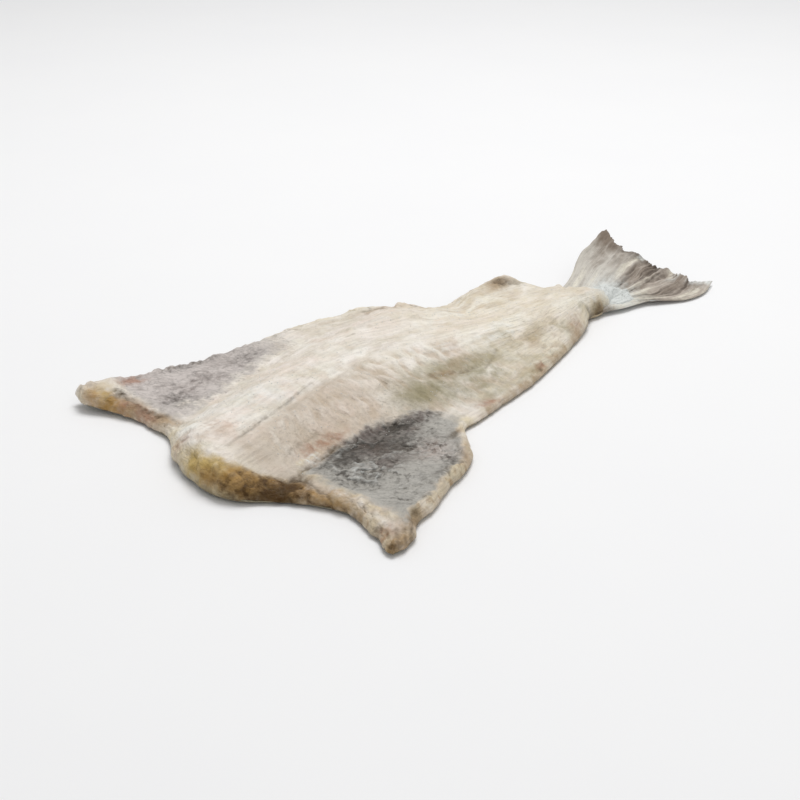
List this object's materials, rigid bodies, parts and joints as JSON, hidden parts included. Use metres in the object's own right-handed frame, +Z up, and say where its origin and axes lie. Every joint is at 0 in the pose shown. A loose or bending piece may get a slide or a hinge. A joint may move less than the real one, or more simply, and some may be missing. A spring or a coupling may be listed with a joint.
{
  "type": "salted dried cod",
  "caption": "Headless cod split along the belly and opened flat, flesh side up, salted and dried, with its tail fin.",
  "frame": {"origin": "middle of the box's underside, on the surface the fish lies on", "axes": "+X from neck to tail, +Y to the fish's left flank, +Z up, out of the flesh side"},
  "size_m": [0.4878, 0.2804, 0.034],
  "materials": {
    "flesh": "matte, dry and fibrous, ivory with tan and olive areas",
    "membrane": "matte, wrinkled dark lining of the belly flaps",
    "skin": "satin, finely scaled, mottled olive grey",
    "fin": "matte, ribbed by fine rays, grey mauve",
    "salt": "matte white crystals"
  },
  "bodies": {
    "root": {"cod": "flesh"}
  },
  "joints": []
}
